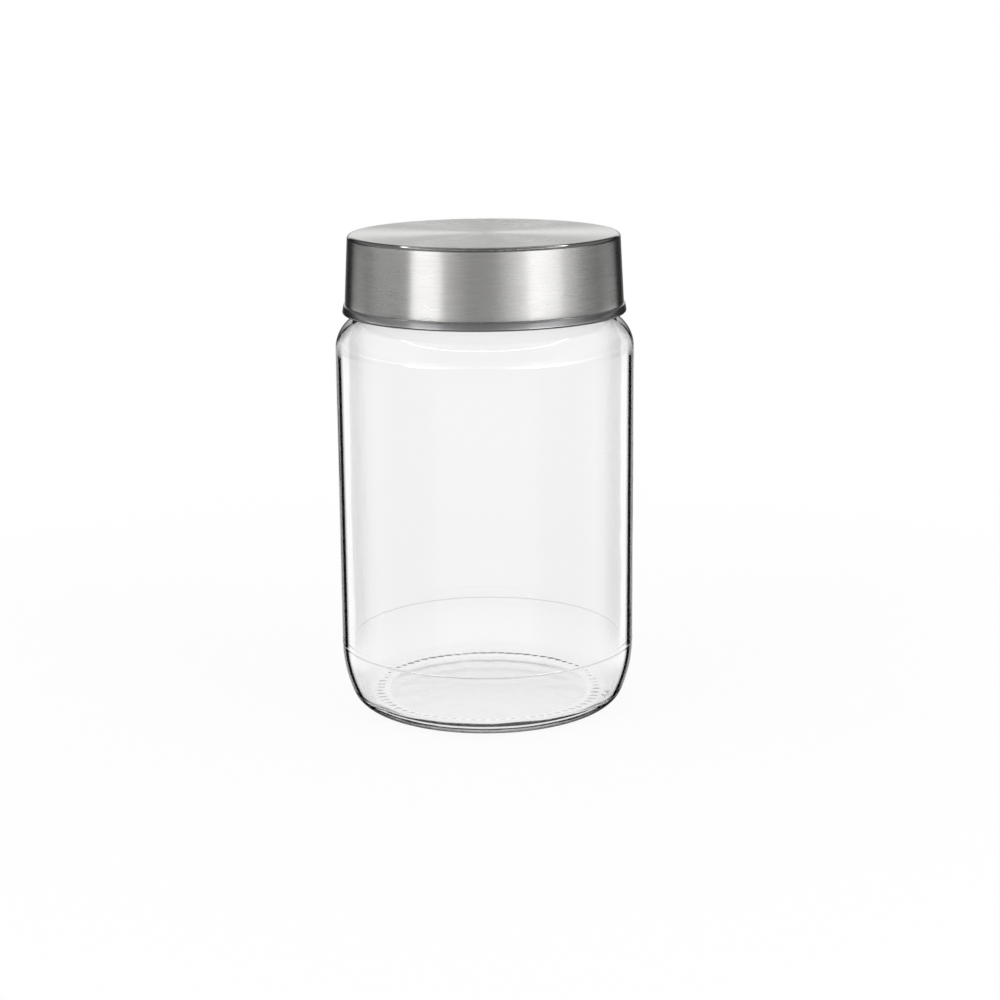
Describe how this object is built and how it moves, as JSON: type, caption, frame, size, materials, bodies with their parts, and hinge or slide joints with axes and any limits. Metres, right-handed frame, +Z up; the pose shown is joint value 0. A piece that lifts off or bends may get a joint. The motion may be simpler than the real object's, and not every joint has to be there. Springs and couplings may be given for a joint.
{
  "type": "spice jar",
  "caption": "Straight-sided clear glass jar with a rounded shoulder and slightly domed base, closed by a twist-on plastic lid under a brushed steel cover.",
  "frame": {"origin": "centre of the bearing ring on which the jar stands", "axes": "+Z up along the jar's axis, towards the lid; +X through the lower end of one glass lug"},
  "size_m": [0.088, 0.088, 0.1416],
  "materials": {
    "clear_glass": "clear, smooth",
    "grey_plastic": "moulded, glossy",
    "brushed_cover": "turned and brushed in circles",
    "pale_liner": "soft closed-cell foam"
  },
  "bodies": {
    "jar": {"glass_jar": "clear_glass"},
    "liner": {"cap_liner": "pale_liner"},
    "lid": {"screw_cap": "grey_plastic", "steel_cover": "brushed_cover"}
  },
  "joints": [
    {"name": "lid_rise", "type": "slide", "parent": "jar", "child": "liner", "axis": [0, 0, 1], "range_m": [0, 0.025]},
    {"name": "lid_turn", "type": "hinge", "parent": "liner", "child": "lid", "pos_m": [0, 0, 0.1384], "axis": [0, 0, 1], "range_deg": [0, 450]}
  ],
  "couplings": [
    {"joint": "lid_rise", "follows": "lid_turn", "m_per_rad": 0.0031831}
  ]
}
